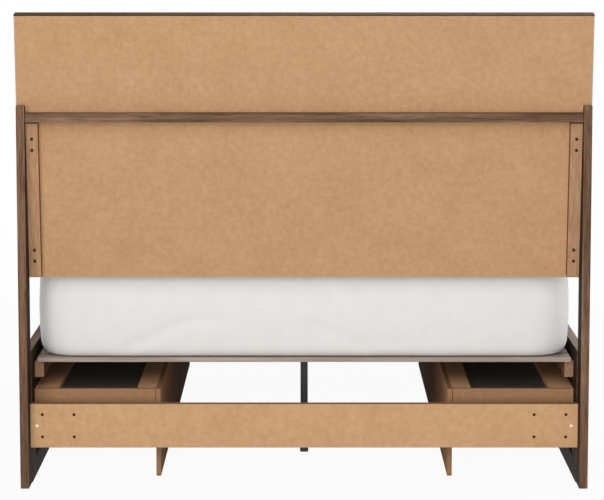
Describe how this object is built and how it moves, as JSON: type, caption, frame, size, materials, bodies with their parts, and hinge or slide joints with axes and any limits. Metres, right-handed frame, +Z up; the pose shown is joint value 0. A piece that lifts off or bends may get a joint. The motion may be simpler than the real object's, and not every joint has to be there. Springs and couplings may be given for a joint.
{
  "type": "storage panel bed",
  "caption": "Bed with a reclined panel headboard on side posts, a low footboard, slats, a mattress and side drawers on slides under both long sides.",
  "frame": {"origin": "on the floor, under the middle of the bed's box", "axes": "+X to the right as seen from behind the headboard, +Y from the headboard to the foot, +Z up"},
  "size_m": [1.66, 2.2368, 1.3385],
  "materials": {
    "weathered_laminate": "printed weathered oak grain, satin",
    "raw_fibreboard": "raw sanded fibreboard",
    "raw_timber": "planed softwood, unfinished",
    "slat_timber": "planed slats, unfinished",
    "black_hardboard": "black painted hardboard",
    "drawer_board": "foil covered board",
    "black_steel": "black powder coat",
    "zinc_steel": "zinc plated",
    "white_plastic": "moulded caps and slide wheels",
    "black_plastic": "moulded glide",
    "mattress_cover": "plain off-white knitted cover"
  },
  "bodies": {
    "bed_frame": {"batten_left": "raw_timber", "batten_right": "raw_timber", "batten_screws": "black_steel", "cam_bolts": "zinc_steel", "cam_caps": "white_plastic", "centre_legs": "black_steel", "dust_covers": "black_hardboard", "foot_glides": "black_plastic", "footboard_back": "weathered_laminate", "footboard_face": "weathered_laminate", "footboard_frame": "weathered_laminate", "head_post_left": "weathered_laminate", "head_post_right": "weathered_laminate", "headboard_back": "raw_fibreboard", "headboard_face": "weathered_laminate", "headboard_frame": "weathered_laminate", "inner_panel_left": "raw_fibreboard", "inner_panel_right": "raw_fibreboard", "ledger_left": "raw_timber", "ledger_right": "raw_timber", "leg_glides": "black_plastic", "leg_plates": "black_steel", "lower_rail": "raw_fibreboard", "mattress": "mattress_cover", "rail_cams": "black_steel", "side_plinth_left": "weathered_laminate", "side_plinth_right": "weathered_laminate", "side_rail_left": "weathered_laminate", "side_rail_right": "weathered_laminate", "side_stiles_left": "weathered_laminate", "side_stiles_right": "weathered_laminate", "slats": "slat_timber", "slide_channels": "zinc_steel", "slide_wheels": "white_plastic", "tie_rail": "weathered_laminate", "top_stretchers_left": "raw_fibreboard", "top_stretchers_right": "raw_fibreboard", "unit_ends_left": "raw_fibreboard", "unit_ends_right": "raw_fibreboard"},
    "drawer_left_head": {"drawer_left_head_bottom": "drawer_board", "drawer_left_head_box": "drawer_board", "drawer_left_head_front": "weathered_laminate", "drawer_left_head_pulls": "black_steel", "drawer_left_head_runners": "zinc_steel"},
    "drawer_left_foot": {"drawer_left_foot_bottom": "drawer_board", "drawer_left_foot_box": "drawer_board", "drawer_left_foot_front": "weathered_laminate", "drawer_left_foot_pulls": "black_steel", "drawer_left_foot_runners": "zinc_steel"},
    "drawer_right_head": {"drawer_right_head_bottom": "drawer_board", "drawer_right_head_box": "drawer_board", "drawer_right_head_front": "weathered_laminate", "drawer_right_head_pulls": "black_steel", "drawer_right_head_runners": "zinc_steel"},
    "drawer_right_foot": {"drawer_right_foot_bottom": "drawer_board", "drawer_right_foot_box": "drawer_board", "drawer_right_foot_front": "weathered_laminate", "drawer_right_foot_pulls": "black_steel", "drawer_right_foot_runners": "zinc_steel"}
  },
  "joints": [
    {"name": "drawer_left_head_slide", "type": "slide", "parent": "bed_frame", "child": "drawer_left_head", "axis": [-1, 0, 0], "range_m": [0, 0.26]},
    {"name": "drawer_left_foot_slide", "type": "slide", "parent": "bed_frame", "child": "drawer_left_foot", "axis": [-1, 0, 0], "range_m": [0, 0.26]},
    {"name": "drawer_right_head_slide", "type": "slide", "parent": "bed_frame", "child": "drawer_right_head", "axis": [1, 0, 0], "range_m": [0, 0.26]},
    {"name": "drawer_right_foot_slide", "type": "slide", "parent": "bed_frame", "child": "drawer_right_foot", "axis": [1, 0, 0], "range_m": [0, 0.26]}
  ]
}
